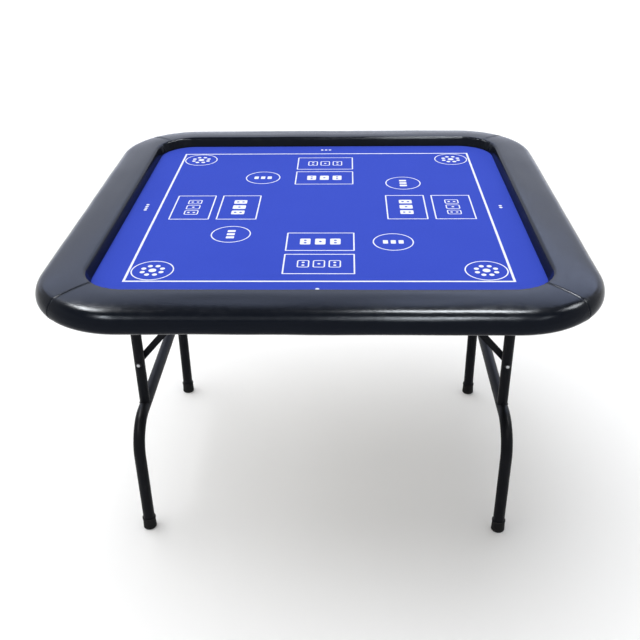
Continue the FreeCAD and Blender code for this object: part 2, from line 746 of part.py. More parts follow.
def make_pin(label, section, side, end, x, z):
    """A turned pin along Y; its section runs from the outer end of the table inward."""
    turned = new_body(label, kept=False)
    sketch = new_sketch(turned, label + "_section", "XY_Plane")
    draw(sketch, section)
    revolve(turned, label + "_turned", sketch)
    place(turned, signed(side, x), "0", z, Rotation(Vector(0, 0, 1), 0 if end < 0 else 180))
    return turned


def make_nut(label, side, end):
    nut = new_body(label, kept=False)
    sketch = new_sketch(nut, label + "_outline", "XZ_Plane")
    flat = "(sizes.nut_width / 2)"
    point = f"({flat} / cos(30))"
    draw(sketch, [
        (point, "0"),
        (f"{point} / 2", flat),
        (f"-{point} / 2", flat),
        (f"-{point}", "0"),
        (f"-{point} / 2", f"-{flat}"),
        (f"{point} / 2", f"-{flat}"),
    ])
    draw_circle(sketch, "sizes.bolt_dia / 2 + sizes.weld_gap / 2")
    feature(nut, "Pad", label + "_hex", sketch, SideType="Symmetric", Length="sizes.nut_height")
    level = "places.lower_face - sizes.link_thick - sizes.pin_gap - sizes.nut_height / 2"
    place(nut, signed(side, "places.leg_x"), signed(end, level), "places.bolt_z")
    return nut


def make_spacer(label, side, end):
    spacer = new_body(label, kept=False)
    sketch = new_sketch(spacer, label + "_ring", "XZ_Plane")
    draw_circle(sketch, "sizes.spacer_dia / 2")
    draw_circle(sketch, "sizes.bolt_dia / 2 + sizes.pin_gap")
    feature(spacer, "Pad", label + "_tube", sketch, SideType="Symmetric", Length="sizes.spacer_length")
    level = "places.tube_side - sizes.weld_gap - sizes.spacer_length / 2"
    place(spacer, signed(side, "places.leg_x"), signed(end, level), "places.bolt_z")
    return spacer


def make_brace_hardware(name, side):
    """Bolts, spacers and nuts on the uprights, rivets at the brackets and at the elbows."""
    bolt_start = "-(places.upright_y + sizes.upright_dia / 2)"
    bolt_end = "-(places.lower_face - sizes.link_thick - sizes.pin_gap - sizes.nut_height - sizes.tube_wall)"
    bolt = domed("sizes.bolt_head_dia", "sizes.bolt_head_height", "sizes.bolt_dia", bolt_start, bolt_end)
    rivet = ("sizes.rivet_head_dia", "sizes.rivet_head_height", "sizes.rivet_dia")
    seam = "(places.upper_y + sizes.link_thick / 2 + sizes.link_gap / 2)"
    elbow_x = "places.pivot_x + sizes.brace_reach * places.upper_link / places.brace_length"
    elbow_z = "places.pivot_z - places.brace_rise * places.upper_link / places.brace_length"
    outer = domed(*rivet, "-places.lower_face", f"-{seam}")
    inner_head = "(places.upper_y - sizes.link_thick / 2)"
    inner = domed(*rivet, inner_head, f"{seam}")
    ear_head = "(places.ear_face - sizes.bracket_thick)"
    ear = domed(*rivet, ear_head, "(places.upper_y + sizes.link_thick / 2)")
    made = {"brace_bolts": [], "brace_spacers": [], "brace_nuts": [],
            "elbow_rivets_outer": [], "elbow_rivets_inner": [], "bracket_rivets": []}
    for end_name, end in ENDS:
        tag = f"{name}_{end_name}"
        made["brace_bolts"].append(
            make_pin(tag + "_bolt", bolt, side, end, "places.leg_x", "places.bolt_z"))
        made["brace_spacers"].append(make_spacer(tag + "_spacer", side, end))
        made["brace_nuts"].append(make_nut(tag + "_nut", side, end))
        made["elbow_rivets_outer"].append(make_pin(tag + "_elbow_outer", outer, side, end, elbow_x, elbow_z))
        made["elbow_rivets_inner"].append(make_pin(tag + "_elbow_inner", inner, side, -end, elbow_x, elbow_z))
        made["bracket_rivets"].append(
            make_pin(tag + "_ear_rivet", ear, side, -end, "places.pivot_x", "places.pivot_z"))
    for label, members in made.items():
        group(f"{name}_{label}", members)


make_board()
make_rail_core()
make_sheet("underlay", "sizes.underlay_thick", "places.board_top")
make_sheet("playing_cloth", "sizes.cloth_thick", "places.cloth_top - sizes.cloth_thick")
for turns, rail_name in enumerate(("front", "right", "rear", "left")):
    make_rail_side(f"{rail_name}_rail_foam", foam_section(), turns)
    make_rail_side(f"{rail_name}_rail_cover", cover_section(), turns)
screws("rail_screws", "places.rail_screw_length", rail_screw_spots, "places.board_bottom")
screws("strap_screws", "sizes.bracket_screw_length", strap_screw_spots,
       "places.board_bottom - sizes.strap_thick")
screws("bracket_screws", "sizes.bracket_screw_length", bracket_screw_spots,
       "places.board_bottom - sizes.bracket_thick")

for side_name, side_sign in SIDES:
    make_base_frame(side_name, side_sign)
    make_hinge_tube(side_name, side_sign)
    make_hinge_plugs(side_name, side_sign)
    make_brace_hardware(side_name, side_sign)
    for end_word, end_sign in ENDS:
        for maker in (make_upright, make_foot, make_strap, make_lower_link, make_upper_link, make_bracket):
            maker(side_name, side_sign, end_word, end_sign)

doc.recompute()
for item in doc.Objects:
    assert not {"Invalid", "Error"} & set(item.State), f"{item.Label} failed: {item.State}"
for item in sub_parts:
    assert not item.Shape.isNull() and item.Shape.isValid(), f"{item.Label} has no valid shape"

os.makedirs("parts", exist_ok=True)
for item in sub_parts:
    item.Shape.exportStep(f"parts/{item.Label}.step")
print(len(sub_parts), "sub-parts")
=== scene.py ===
"""Looks of the folding mahjong table: padded vinyl rail, printed cloth, coated steel and the studio.

Metres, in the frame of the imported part: +Z up, the player at the front sits on the -Y side.
"""
import math

import bpy
import numpy as np
from mathutils import Matrix, Vector, noise


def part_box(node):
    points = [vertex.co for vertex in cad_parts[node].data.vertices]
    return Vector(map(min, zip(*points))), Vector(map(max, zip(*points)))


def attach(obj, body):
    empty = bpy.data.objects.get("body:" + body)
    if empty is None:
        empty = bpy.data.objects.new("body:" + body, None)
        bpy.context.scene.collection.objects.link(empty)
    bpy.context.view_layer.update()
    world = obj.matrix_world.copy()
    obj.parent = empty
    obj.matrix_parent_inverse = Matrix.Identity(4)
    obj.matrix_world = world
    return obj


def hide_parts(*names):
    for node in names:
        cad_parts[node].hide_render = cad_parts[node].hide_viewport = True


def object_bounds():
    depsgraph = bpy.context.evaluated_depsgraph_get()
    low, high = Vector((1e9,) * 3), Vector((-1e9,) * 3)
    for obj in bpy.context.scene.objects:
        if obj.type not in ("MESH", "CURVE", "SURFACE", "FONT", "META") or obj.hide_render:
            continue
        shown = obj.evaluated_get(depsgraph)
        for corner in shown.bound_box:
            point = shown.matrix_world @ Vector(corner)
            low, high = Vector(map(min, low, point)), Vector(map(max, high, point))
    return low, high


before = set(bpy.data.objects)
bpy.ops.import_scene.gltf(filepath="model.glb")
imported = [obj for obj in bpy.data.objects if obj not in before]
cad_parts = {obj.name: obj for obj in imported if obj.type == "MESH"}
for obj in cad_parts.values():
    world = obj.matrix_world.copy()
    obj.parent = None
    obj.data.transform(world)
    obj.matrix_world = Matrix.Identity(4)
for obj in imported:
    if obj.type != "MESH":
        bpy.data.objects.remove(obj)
cad_low, cad_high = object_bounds()
scene = bpy.context.scene

MM = 0.001
QUARTER = math.pi / 2
EIGHTH = math.pi / 4

# Sizes read from the frame
cover_low, cover_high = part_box("front_rail_cover")
cloth_low, cloth_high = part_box("playing_cloth")
underlay_low, underlay_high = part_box("underlay")
_, board_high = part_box("top_board")
_, core_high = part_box("rail_core")
HALF = cad_high.x
RAIL_TOP = cover_high.z
RAIL_BOTTOM = cover_low.z
CORNER_RADIUS = (HALF - cover_high.x) / (1 - math.sin(EIGHTH))
CORNER_CENTRE = HALF - CORNER_RADIUS
EDGE_GAP = 0.3 * MM
OPENING_HALF = cloth_high.x + EDGE_GAP
RAIL_WIDTH = HALF - OPENING_HALF
OPENING_RADIUS = CORNER_RADIUS - RAIL_WIDTH

# Rail section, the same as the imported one
TOP_ROUND = 30 * MM
INNER_ROUND = 8 * MM
CROWN = 4.7 * MM
WALL_LEAN = 9 * MM
COVER_RETURN = 34 * MM
CORE_WIDTH = 62 * MM
VINYL_THICK = 1.2 * MM
FOAM_GAP = 0.3 * MM
BELT = RAIL_TOP - CROWN - TOP_ROUND
LOW_ROUND = BELT - RAIL_BOTTOM


class Field:
    """A socket whose value changes over a surface; maths on it adds Math nodes."""

    def __init__(self, finish, socket):
        self.finish = finish
        self.socket = socket

    def math(self, operation, *others):
        return self.finish.node("ShaderNodeMath", {"operation": operation}, [self, *others])

    def __add__(self, other):
        return self.math("ADD", other)

    def __sub__(self, other):
        return self.math("SUBTRACT", other)

    def __rsub__(self, other):
        return self.finish.node("ShaderNodeMath", {"operation": "SUBTRACT"}, [other, self])

    def __mul__(self, other):
        return self.math("MULTIPLY", other)

    def __truediv__(self, other):
        return self.math("DIVIDE", other)

    def __neg__(self):
        return self.math("MULTIPLY", -1)

    def __abs__(self):
        return self.math("ABSOLUTE")

    __radd__ = __add__
    __rmul__ = __mul__


class Finish:
    """A procedural material, or the world, and the nodes that make it."""

    def __init__(self, owner):
        owner.use_nodes = True
        self.owner = owner
        self.tree = owner.node_tree
        self.tree.nodes.clear()

    def node(self, kind, settings=None, inputs=None, output=0):
        """Add a node, set its settings, fill or link its sockets and return one output."""
        made = self.tree.nodes.new(kind)
        for key, setting in (settings or {}).items():
            setattr(made, key, setting)
        pairs = inputs.items() if isinstance(inputs, dict) else enumerate(inputs or [])
        for key, worth in pairs:
            if isinstance(worth, Field):
                self.tree.links.new(worth.socket, made.inputs[key])
            else:
                made.inputs[key].default_value = worth
        return Field(self, made.outputs[output]) if made.outputs else None

    def place(self):
        """Where a point lies in the table's frame, in metres."""
        return self.node("ShaderNodeTexCoord", output="Object")

    def stretched(self, x, y, z):
        """The place, with each axis scaled for a texture that runs along another."""
        return self.node("ShaderNodeVectorMath", {"operation": "MULTIPLY"}, [self.place(), (x, y, z)])

    def axes(self, vector):
        split = self.node("ShaderNodeSeparateXYZ", inputs=[vector])
        return [Field(self, socket) for socket in split.socket.node.outputs]

    def noise(self, scale, detail=3.0, distortion=0.0, vector=None):
        """Noise from 0 to 1 with about scale lumps in a metre."""
        inputs = {"Vector": vector or self.place(), "Scale": scale}
        inputs |= {"Detail": detail, "Distortion": distortion}
        return self.node("ShaderNodeTexNoise", inputs=inputs)

    def cells(self, scale):
        """Distance to the nearest of the cell centres, about scale of them in a metre."""
        inputs = {"Vector": self.place(), "Scale": scale}
        return self.node("ShaderNodeTexVoronoi", inputs=inputs, output="Distance")

    def step(self, field, low, high):
        """0 below low and 1 above high, smooth between."""
        inputs = {"Value": field, "From Min": low, "From Max": high, "To Min": 0.0, "To Max": 1.0}
        return self.node("ShaderNodeMapRange", {"interpolation_type": "SMOOTHSTEP"}, inputs)

    def mix(self, factor, first, second):
        """A colour between two."""
        return self.node("ShaderNodeMix", {"data_type": "RGBA"}, {0: factor, 6: first, 7: second}, 2)

    def bump(self, height, depth, under=None):
        """A normal that follows height, where 1 stands depth metres proud."""
        inputs = {"Height": height, "Distance": depth, "Strength": 1.0}
        if under:
            inputs["Normal"] = under
        return self.node("ShaderNodeBump", inputs=inputs)

    def surface(self, **sockets):
        """The Principled shader on the material's output; underscores stand for spaces."""
        inputs = {key.replace("_", " "): worth for key, worth in sockets.items()}
        shader = self.node("ShaderNodeBsdfPrincipled", inputs=inputs)
        self.node("ShaderNodeOutputMaterial", inputs=[shader])
        return self.owner


def least(first, *others):
    """The smallest of several fields."""
    for other in others:
        first = first.math("MINIMUM", other)
    return first


def most(first, *others):
    """The largest of several fields."""
    for other in others:
        first = first.math("MAXIMUM", other)
    return first


def new_finish(name):
    return Finish(bpy.data.materials.new(name))


def rgb(red, green, blue):
    return (red, green, blue, 1.0)


# Finishes
def grained_vinyl():
    """Black upholstery vinyl: fine pebble grain, soft stretch marks, a satin top coat."""
    finish = new_finish("grained_vinyl")
    pebble = finish.cells(900)
    pores = finish.noise(2600, 2)
    waves = finish.noise(9, 3, 0.3)
    scuffs = finish.noise(55, 5, 0.6)
    colour = finish.mix(waves, rgb(0.0030, 0.0042, 0.0078), rgb(0.0046, 0.0060, 0.0104))
    creases = finish.noise(1.0, 3, 0.8, finish.stretched(120, 260, 260))
    normal = finish.bump(pebble * 0.7 + pores * 0.3, 0.00003)
    normal = finish.bump(creases, 0.00012, normal)
    normal = finish.bump(scuffs, 0.00010, normal)
    rough = 0.15 + 0.07 * finish.step(scuffs, 0.35, 0.75) + 0.04 * pebble
    return finish.surface(Base_Color=colour, Roughness=rough, Normal=normal, Specular_IOR_Level=0.075,
                          Specular_Tint=rgb(0.86, 0.93, 1.0))


def seam_thread():
    """Waxed black thread with its twist."""
    finish = new_finish("seam_thread")
    x, y, z = finish.axes(finish.place())
    twist = ((x + y + z) * 5200).math("SINE") * 0.5 + 0.5
    fuzz = finish.noise(1800, 2)
    colour = finish.mix(twist, rgb(0.0050, 0.0058, 0.0085), rgb(0.0120, 0.0132, 0.0170))
    normal = finish.bump(twist * 0.7 + fuzz * 0.3, 0.00012)
    rough = 0.6 + 0.2 * fuzz
    return finish.surface(Base_Color=colour, Roughness=rough, Normal=normal, Specular_IOR_Level=0.03)


def cut_foam():
    """Open-cell upholstery foam."""
    finish = new_finish("cut_foam")
    pores = finish.cells(700)
    lumps = finish.noise(60, 4)
    colour = finish.mix(finish.step(pores, 0.15, 0.6), rgb(0.42, 0.38, 0.29), rgb(0.74, 0.70, 0.58))
    normal = finish.bump(1 - pores, 0.0006)
    return finish.surface(Base_Color=colour, Roughness=0.85 + 0.1 * lumps, Normal=normal)


def birch_plywood():
    """Birch plywood: a long grain on the faces and thin bands on the edges."""
    finish = new_finish("birch_plywood")
    _, _, height = finish.axes(finish.place())
    grain = finish.noise(1.0, 6, 0.5, finish.stretched(3.5, 60, 60))
    fibre = finish.noise(1.0, 3, 0.0, finish.stretched(40, 900, 900))
    ply = 2.3 * MM
    bands = ((height / ply) * math.tau).math("SINE") * 0.5 + 0.5
    wood = finish.mix(finish.step(grain, 0.3, 0.7), rgb(0.41, 0.38, 0.32), rgb(0.53, 0.49, 0.43))
    wood = finish.mix(finish.step(fibre, 0.55, 0.8) * 0.45, wood, rgb(0.37, 0.29, 0.19))
    colour = finish.mix(finish.step(bands, 0.3, 0.7) * 0.3, wood, rgb(0.32, 0.24, 0.15))
    normal = finish.bump(grain * 0.4 + fibre * 0.6, 0.00012)
    return finish.surface(Base_Color=colour, Roughness=0.55 + 0.15 * fibre, Normal=normal)


def powder_coat():
    """Satin black powder coat with a fine orange peel and a little handling wear."""
    finish = new_finish("powder_coat")
    peel = finish.noise(1100, 2)
    smears = finish.noise(26, 4, 0.5)
    colour = finish.mix(smears, rgb(0.0032, 0.0036, 0.0052), rgb(0.0060, 0.0066, 0.0090))
    normal = finish.bump(peel, 0.00007)
    rough = 0.34 + 0.12 * finish.step(smears, 0.3, 0.8) + 0.04 * peel
    return finish.surface(Base_Color=colour, Roughness=rough, Normal=normal, Specular_IOR_Level=0.06)


def zinc_plate():
    """Bright zinc plate, faintly mottled and brushed."""
    finish = new_finish("zinc_plate")
    spangle = finish.cells(260)
    brush = finish.noise(1.0, 4, 0.0, finish.stretched(150, 150, 3200))
    colour = finish.mix(spangle, rgb(0.46, 0.47, 0.49), rgb(0.31, 0.32, 0.34))
    normal = finish.bump(brush, 0.00004)
    rough = 0.22 + 0.16 * brush + 0.08 * spangle
    return finish.surface(Base_Color=colour, Roughness=rough, Metallic=1.0, Normal=normal)


def bolt_zinc():
    """Zinc plate of the brace bolts, with painted shade round the rim of their heads."""
    finish = new_finish("bolt_zinc")
    low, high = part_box("right_brace_bolts")
    middle = (low + high) / 2
    radius = (high.z - low.z) / 2
    x, _, height = finish.axes(finish.place())
    rim = disc(abs(x) - middle.x, height - middle.z, 0)
    wear = finish.noise(900, 3)
    # Painted shade: a dark, non-metallic ring round each head stands in for the shading of the dome's
    # rounded edge.
    shade_start, shade_full = 0.45 * radius, 0.75 * radius
    rim_shade = finish.step(rim + (wear - 0.5) * 0.3 * radius, shade_start, shade_full)
    zinc = finish.mix(wear, rgb(0.40, 0.41, 0.43), rgb(0.52, 0.53, 0.55))
    # The head's colour goes from zinc in the middle to painted shade at the rim.
    colour = finish.mix(rim_shade, zinc, rgb(0.012, 0.012, 0.014))
    normal = finish.bump(wear, 0.00004)
    return finish.surface(Base_Color=colour, Roughness=0.3 + 0.1 * rim_shade, Metallic=1 - rim_shade, Normal=normal,
                          Specular_IOR_Level=0.1)


def moulded_plastic():
    """Matt black plastic of the end plugs."""
    finish = new_finish("moulded_plastic")
    texture = finish.noise(1500, 2)
    patches = finish.noise(70, 3)
    colour = finish.mix(patches, rgb(0.013, 0.013, 0.014), rgb(0.024, 0.024, 0.026))
    rough = 0.45 + 0.15 * texture
    normal = finish.bump(texture, 0.00005)
    return finish.surface(Base_Color=colour, Roughness=rough, Normal=normal, Specular_IOR_Level=0.2)


def moulded_rubber():
    """Black rubber, dusty towards the floor."""
    finish = new_finish("moulded_rubber")
    _, _, height = finish.axes(finish.place())
    texture = finish.noise(900, 3)
    dusty = 9 * MM
    dust = (1 - finish.step(height, 0.0, dusty)) * finish.noise(160, 4)
    colour = finish.mix(dust * 0.5, rgb(0.0050, 0.0052, 0.0060), rgb(0.060, 0.058, 0.056))
    rough = 0.55 + 0.15 * texture
    normal = finish.bump(texture, 0.00009)
    return finish.surface(Base_Color=colour, Roughness=rough, Normal=normal, Specular_IOR_Level=0.10)


# Printed layout of the cloth, in millimetres from the middle of the table
BORDER_HALF = 391
BORDER_LINE = 5
BOX_HALF = (73.5, 46)
BOX_MIDDLES = (199.7, 311)
BOX_LINE = 3
BOX_ROUND = 0.5
DISC_SPOT = (159.5, 201.5)
DISC_RADIUS = 43.5
DISC_LINE = 2.6
CORNER_SPOT = 342
CORNER_DISC = 43
TILE_PITCH = 33
TILE_HALF = (11.5, 15.5)
TILE_ROUND = 3.5
TILE_LINE = 2.6
PIP_RADIUS = 3.2
PIP_RISE = 6.5
BAR_PITCH = 17
BAR_HALF = (5.5, 9)
BAR_ROUND = 2
ROSETTE_RADIUS = 21
ROSETTE_DOT = 5.2
ROSETTE_MIDDLE = 8
SEAT_LINE = 424
SEAT_PITCH = 11
SEAT_DOT = 4
INK_EDGE = 0.5


def rounded_box(across, along, half, radius):
    """Distance to a rounded rectangle about the origin; across and along are not negative."""
    past_x, past_y = across - (half[0] - radius), along - (half[1] - radius)
    over_x, over_y = most(past_x, 0), most(past_y, 0)
    outside = (over_x * over_x + over_y * over_y).math("SQRT")
    return outside + least(most(past_x, past_y), 0) - radius


def disc(across, along, radius):
    return (across * across + along * along).math("SQRT") - radius


def outline(distance, width):
    return abs(distance) - width / 2


def cloth_print(finish):
    """How far a point lies outside the printed ink, in millimetres, the same for the four players."""
    x, y, _ = finish.axes(finish.stretched(1 / MM, 1 / MM, 1 / MM))
    far_x, far_y = abs(x), abs(y)
    near, far = least(far_x, far_y), most(far_x, far_y)
    shapes = [outline(far - BORDER_HALF, BORDER_LINE)]

    tile_near = least(near, abs(near - TILE_PITCH))
    for middle, solid in zip(BOX_MIDDLES, (True, False)):
        rise = abs(far - middle)
        shapes.append(outline(rounded_box(near, rise, BOX_HALF, BOX_ROUND), BOX_LINE))
        tile = rounded_box(tile_near, rise, TILE_HALF, TILE_ROUND)
        outer_pips = disc(abs(near - TILE_PITCH), abs(rise - PIP_RISE), PIP_RADIUS)
        pips = least(disc(near, rise, PIP_RADIUS), outer_pips)
        shapes.append(most(tile, -pips) if solid else least(outline(tile, TILE_LINE), pips))

    turned = (x * y).math("GREATER_THAN", 0)
    across = turned * far_y + (1 - turned) * far_x - DISC_SPOT[0]
    along = turned * far_x + (1 - turned) * far_y - DISC_SPOT[1]
    shapes.append(outline(disc(across, along, DISC_RADIUS), DISC_LINE))
    bar_near = least(abs(across), abs(abs(across) - BAR_PITCH))
    shapes.append(rounded_box(bar_near, abs(along), BAR_HALF, BAR_ROUND))

    off_x, off_y = abs(far_x - CORNER_SPOT), abs(far_y - CORNER_SPOT)
    shapes.append(outline(disc(off_x, off_y, CORNER_DISC), DISC_LINE))
    petal = (ROSETTE_RADIUS * math.cos(EIGHTH / 2), ROSETTE_RADIUS * math.sin(EIGHTH / 2))
    shapes.append(disc(most(off_x, off_y) - petal[0], least(off_x, off_y) - petal[1], ROSETTE_DOT))
    shapes.append(disc(off_x, off_y, ROSETTE_MIDDLE))

    sideways = far_x.math("GREATER_THAN", far_y)
    right = sideways * x.math("GREATER_THAN", 0)
    rear = (1 - sideways) * y.math("GREATER_THAN", 0)
    left = sideways - right
    reach = 0.5 * (right + 2 * rear + 3 * left)
    seat = most(least((near / SEAT_PITCH + reach).math("ROUND"), 2 * reach), 0) - reach
    seat_near = near - SEAT_PITCH * seat
    shapes.append(disc(seat_near, far - SEAT_LINE, SEAT_DOT))
    return least(*shapes)


def printed_cloth():
    """Royal blue polyester table cloth with white print, a fine plain weave and a short nap."""
    finish = new_finish("printed_cloth")
    x, y, _ = finish.axes(finish.place())
    pitch = 0.9 * MM
    warp = (x * (math.tau / pitch)).math("SINE")
    weft = (y * (math.tau / pitch)).math("SINE")
    weave = warp * weft * 0.5 + 0.5
    nap = finish.noise(420, 4)
    shade = finish.noise(5, 2)
    blue = finish.mix(shade, rgb(0.026, 0.059, 0.500), rgb(0.032, 0.071, 0.545))
    blue = finish.mix(finish.step(nap, 0.3, 0.75) * 0.35, blue, rgb(0.026, 0.056, 0.46))
    ink = 1 - finish.step(cloth_print(finish) + (nap - 0.5) * 0.6, -INK_EDGE, INK_EDGE)
    white = finish.mix(nap, rgb(0.78, 0.82, 0.95), rgb(0.90, 0.93, 1.0))
    colour = finish.mix(ink, blue, white)
    normal = finish.bump(weave * 0.6 + nap * 0.4, 0.00012)
    rough = 0.78 + 0.12 * nap - 0.12 * ink
    return finish.surface(Base_Color=colour, Roughness=rough, Normal=normal, Specular_IOR_Level=0.03,
                          Sheen_Weight=0.02, Sheen_Roughness=0.5)


FINISHES = {
    "plywood": birch_plywood(),
    "foam": cut_foam(),
    "blue_cloth": printed_cloth(),
    "black_vinyl": grained_vinyl(),
    "black_steel": powder_coat(),
    "zinc_steel": zinc_plate(),
    "black_plastic": moulded_plastic(),
    "black_rubber": moulded_rubber(),
}
THREAD = seam_thread()
BOLT_FINISH = bolt_zinc()

for node_name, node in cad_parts.items():
    for holder in node.material_slots:
        bolts = node_name.endswith("_brace_bolts")
        holder.material = BOLT_FINISH if bolts else FINISHES[holder.material.name]


# Meshes
def new_piece(name, points, faces, slot, body="table_top", finish=None, crease=40):
    """A mesh piece that rides on a body and takes its finish from a slot of the record."""
    mesh = bpy.data.meshes.new(name)
    mesh.from_pydata([tuple(p) for p in points], [], faces)
    mesh.validate()
    mesh.polygons.foreach_set("use_smooth", [True] * len(mesh.polygons))
    mesh.set_sharp_from_angle(angle=math.radians(crease))
    mesh.materials.append(finish or FINISHES[slot])
    piece = bpy.data.objects.new(name, mesh)
    scene.collection.objects.link(piece)
    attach(piece, body)
    return piece


def grid_faces(rows, columns, start=0, flip=False, wrap=False):
    """Quads of a grid of points kept row by row; wrap joins the last column to the first."""
    faces = []
    for i in range(rows - 1):
        for j in range(columns if wrap else columns - 1):
            k = (j + 1) % columns
            face = (start + i * columns + j, start + (i + 1) * columns + j,
                    start + (i + 1) * columns + k, start + i * columns + k)
            faces.append(face[::-1] if flip else face)
    return faces


def arc(centre, radius, start, finish, spacing):
    """Points along an arc, angles in degrees."""
    steps = max(2, round(abs(math.radians(finish - start)) * radius / spacing))
    angles = np.radians(np.linspace(start, finish, steps + 1))
    return [(centre[0] + radius * math.cos(a), centre[1] + radius * math.sin(a)) for a in angles]


def straight(first, last, spacing):
    steps = max(1, round(math.dist(first, last) / spacing))
    return [tuple(p) for p in np.linspace(first, last, steps + 1)]


# Padded rail
SKIN_STEP = 3.2 * MM
RIM_FINENESS = 3
SAME_POINT = 1e-6
STRAIGHT_STATIONS = 66
SEAM_STEP = 0.004
STEP_GROWTH = 1.22
WIDEST_STEP = 0.06
SEAM_DEPTH = 0.7 * MM
SEAM_WIDTH = 0.9 * MM
SEAM_SHARPNESS = 1.4
FOLD = 1.1 * MM
FOLD_PITCH = 17 * MM
FOLD_REACH = 9 * MM
FOLD_FOOT = 6 * MM
FOLD_START = 0.25
FOLD_SEAM_GAP = 6 * MM
FOLD_SHIFT = 2.1
SWAY = 0.7 * MM
SWAY_SCALE = 9.0
SWAY_SHIFT = Vector((3.1, 7.7, 1.3))
SWAY_EASE = 40 * MM


def rail_skin(spacing):
    """Outer face of the rail: from the hem under the board round the outside to the inner wall's foot.

    Points are (distance outward from the opening, height).
    """
    rise = RAIL_TOP - cloth_high.z
    lean = math.degrees(math.atan2(WALL_LEAN, rise))
    wall_cosine, wall_sine = math.cos(math.radians(lean)), math.sin(math.radians(lean))
    rim = INNER_ROUND * wall_cosine + (rise - INNER_ROUND * (1 - wall_sine)) * WALL_LEAN / rise
    shoulder = RAIL_WIDTH - TOP_ROUND
    swing = ((shoulder - rim) ** 2 + CROWN ** 2) / (2 * CROWN)
    slope = math.degrees(math.asin((shoulder - rim) / swing))
    tuck = RAIL_WIDTH - LOW_ROUND
    runs = [
        straight((tuck - COVER_RETURN, RAIL_BOTTOM), (tuck, RAIL_BOTTOM), spacing),
        arc((tuck, BELT), LOW_ROUND, -90, 0, spacing),
        arc((shoulder, BELT), TOP_ROUND, 0, 90 - slope, spacing),
        arc((rim, RAIL_TOP - TOP_ROUND - swing), TOP_ROUND + swing, 90 - slope, 90, spacing),
        arc((rim, RAIL_TOP - INNER_ROUND), INNER_ROUND, 90, 180 - lean, spacing / RIM_FINENESS),
    ]
    runs.append(straight(runs[-1][-1], (0, cloth_high.z), spacing))
    runs.append(straight((0, cloth_high.z), (0, board_high.z), spacing))
    points = [runs[0][0]]
    for run in runs:
        points += [p for p in run[1:] if math.dist(p, points[-1]) > SAME_POINT]
    return np.array(points)


def outward(points):
    """Unit normals of the skin, away from the padding."""
    along = np.gradient(points, axis=0)
    normals = np.stack([along[:, 1], -along[:, 0]], axis=1)
    return normals / np.linalg.norm(normals, axis=1, keepdims=True)


def section_run(points):
    """Distance along a section to each of its points."""
    return np.concatenate([[0], np.cumsum(np.linalg.norm(np.diff(points, axis=0), axis=1))])


def rail_stations():
    """Stations from seam to seam, closer at the seams: (x of the turning centre, angle round it)."""
    bend = []
    angle, gap = EIGHTH, SEAM_STEP
    while angle > 0:
        bend.append(angle)
        angle -= gap
        gap = min(gap * STEP_GROWTH, WIDEST_STEP)
    run = np.linspace(-CORNER_CENTRE, CORNER_CENTRE, STRAIGHT_STATIONS)
    stations = [(-CORNER_CENTRE, -a) for a in bend]
    stations += [(x, 0.0) for x in run]
    return stations + [(CORNER_CENTRE, a) for a in reversed(bend)]


def rail_place(centre, angle, reach, level):
    """A point of the front side of the rail."""
    spread = OPENING_RADIUS + reach
    across = centre + spread * np.sin(angle)
    along = -(CORNER_CENTRE + spread * np.cos(angle))
    return np.stack(np.broadcast_arrays(across, along, level), axis=-1)


skin = rail_skin(SKIN_STEP)
skin_normals = outward(skin)
skin_run = section_run(skin)
stations = np.array(rail_stations())


def rail_relief(centre, angle, reach, level, turn):
    """How far the cover stands proud of the plain section at its seams and inner folds."""
    spread = OPENING_RADIUS + reach
    from_seam = spread * (EIGHTH - np.abs(angle)) + CORNER_CENTRE - np.abs(centre)
    groove = SEAM_DEPTH * np.exp(-(from_seam / SEAM_WIDTH) ** SEAM_SHARPNESS)
    inner = np.exp(-(reach / FOLD_REACH) ** 2) * np.clip((level - cloth_high.z) / FOLD_FOOT, 0, 1)
    corner = np.clip(np.abs(angle) / FOLD_START, 0, 1) * (1 - np.exp(-from_seam / FOLD_SEAM_GAP))
    fold = np.sin(math.tau * OPENING_RADIUS * angle / FOLD_PITCH + FOLD_SHIFT * turn)
    return FOLD * fold * inner * corner - groove


def sway(points, turn):
    """A slow unevenness of the padding, different on each side."""
    shift = SWAY_SHIFT * turn
    return np.array([SWAY * noise.noise(Vector(p) * SWAY_SCALE + shift) for p in points])


def spin(points, turn):
    """Turn points of the front side to the side that is so many quarters round."""
    angle = QUARTER * turn
    matrix = np.array(Matrix.Rotation(angle, 3, "Z"))
    return points @ matrix.T


# Cloth simulation of the four vinyl panels, each in the place of the front one
CLOTH_FRAMES = 20
CLOTH_STEP = 7 * MM
CLOTH_SKIN_STEP = 4 * MM
CLOTH_CAP = 1.5 * MM
HEM_HELD = 8 * MM
FOOT_HELD = 10 * MM
FOAM_HOLD = 0.12
VINYL_CLOTH = {
    "quality": 6,
    "mass": 0.3,
    "tension_stiffness": 30,
    "compression_stiffness": 30,
    "shear_stiffness": 12,
    "bending_stiffness": 3,
    "vertex_group_mass": "fixed",
    "use_pressure": True,
    "uniform_pressure_force": 1.2,
}
MIDDLE_SPREAD = OPENING_RADIUS + RAIL_WIDTH / 2
cloth_skin = rail_skin(CLOTH_SKIN_STEP)
cloth_normals = outward(cloth_skin)
cloth_run = section_run(cloth_skin)
cloth_reach = CORNER_CENTRE + EIGHTH * MIDDLE_SPREAD
cloth_marks = np.linspace(-cloth_reach, cloth_reach, round(2 * cloth_reach / CLOTH_STEP))


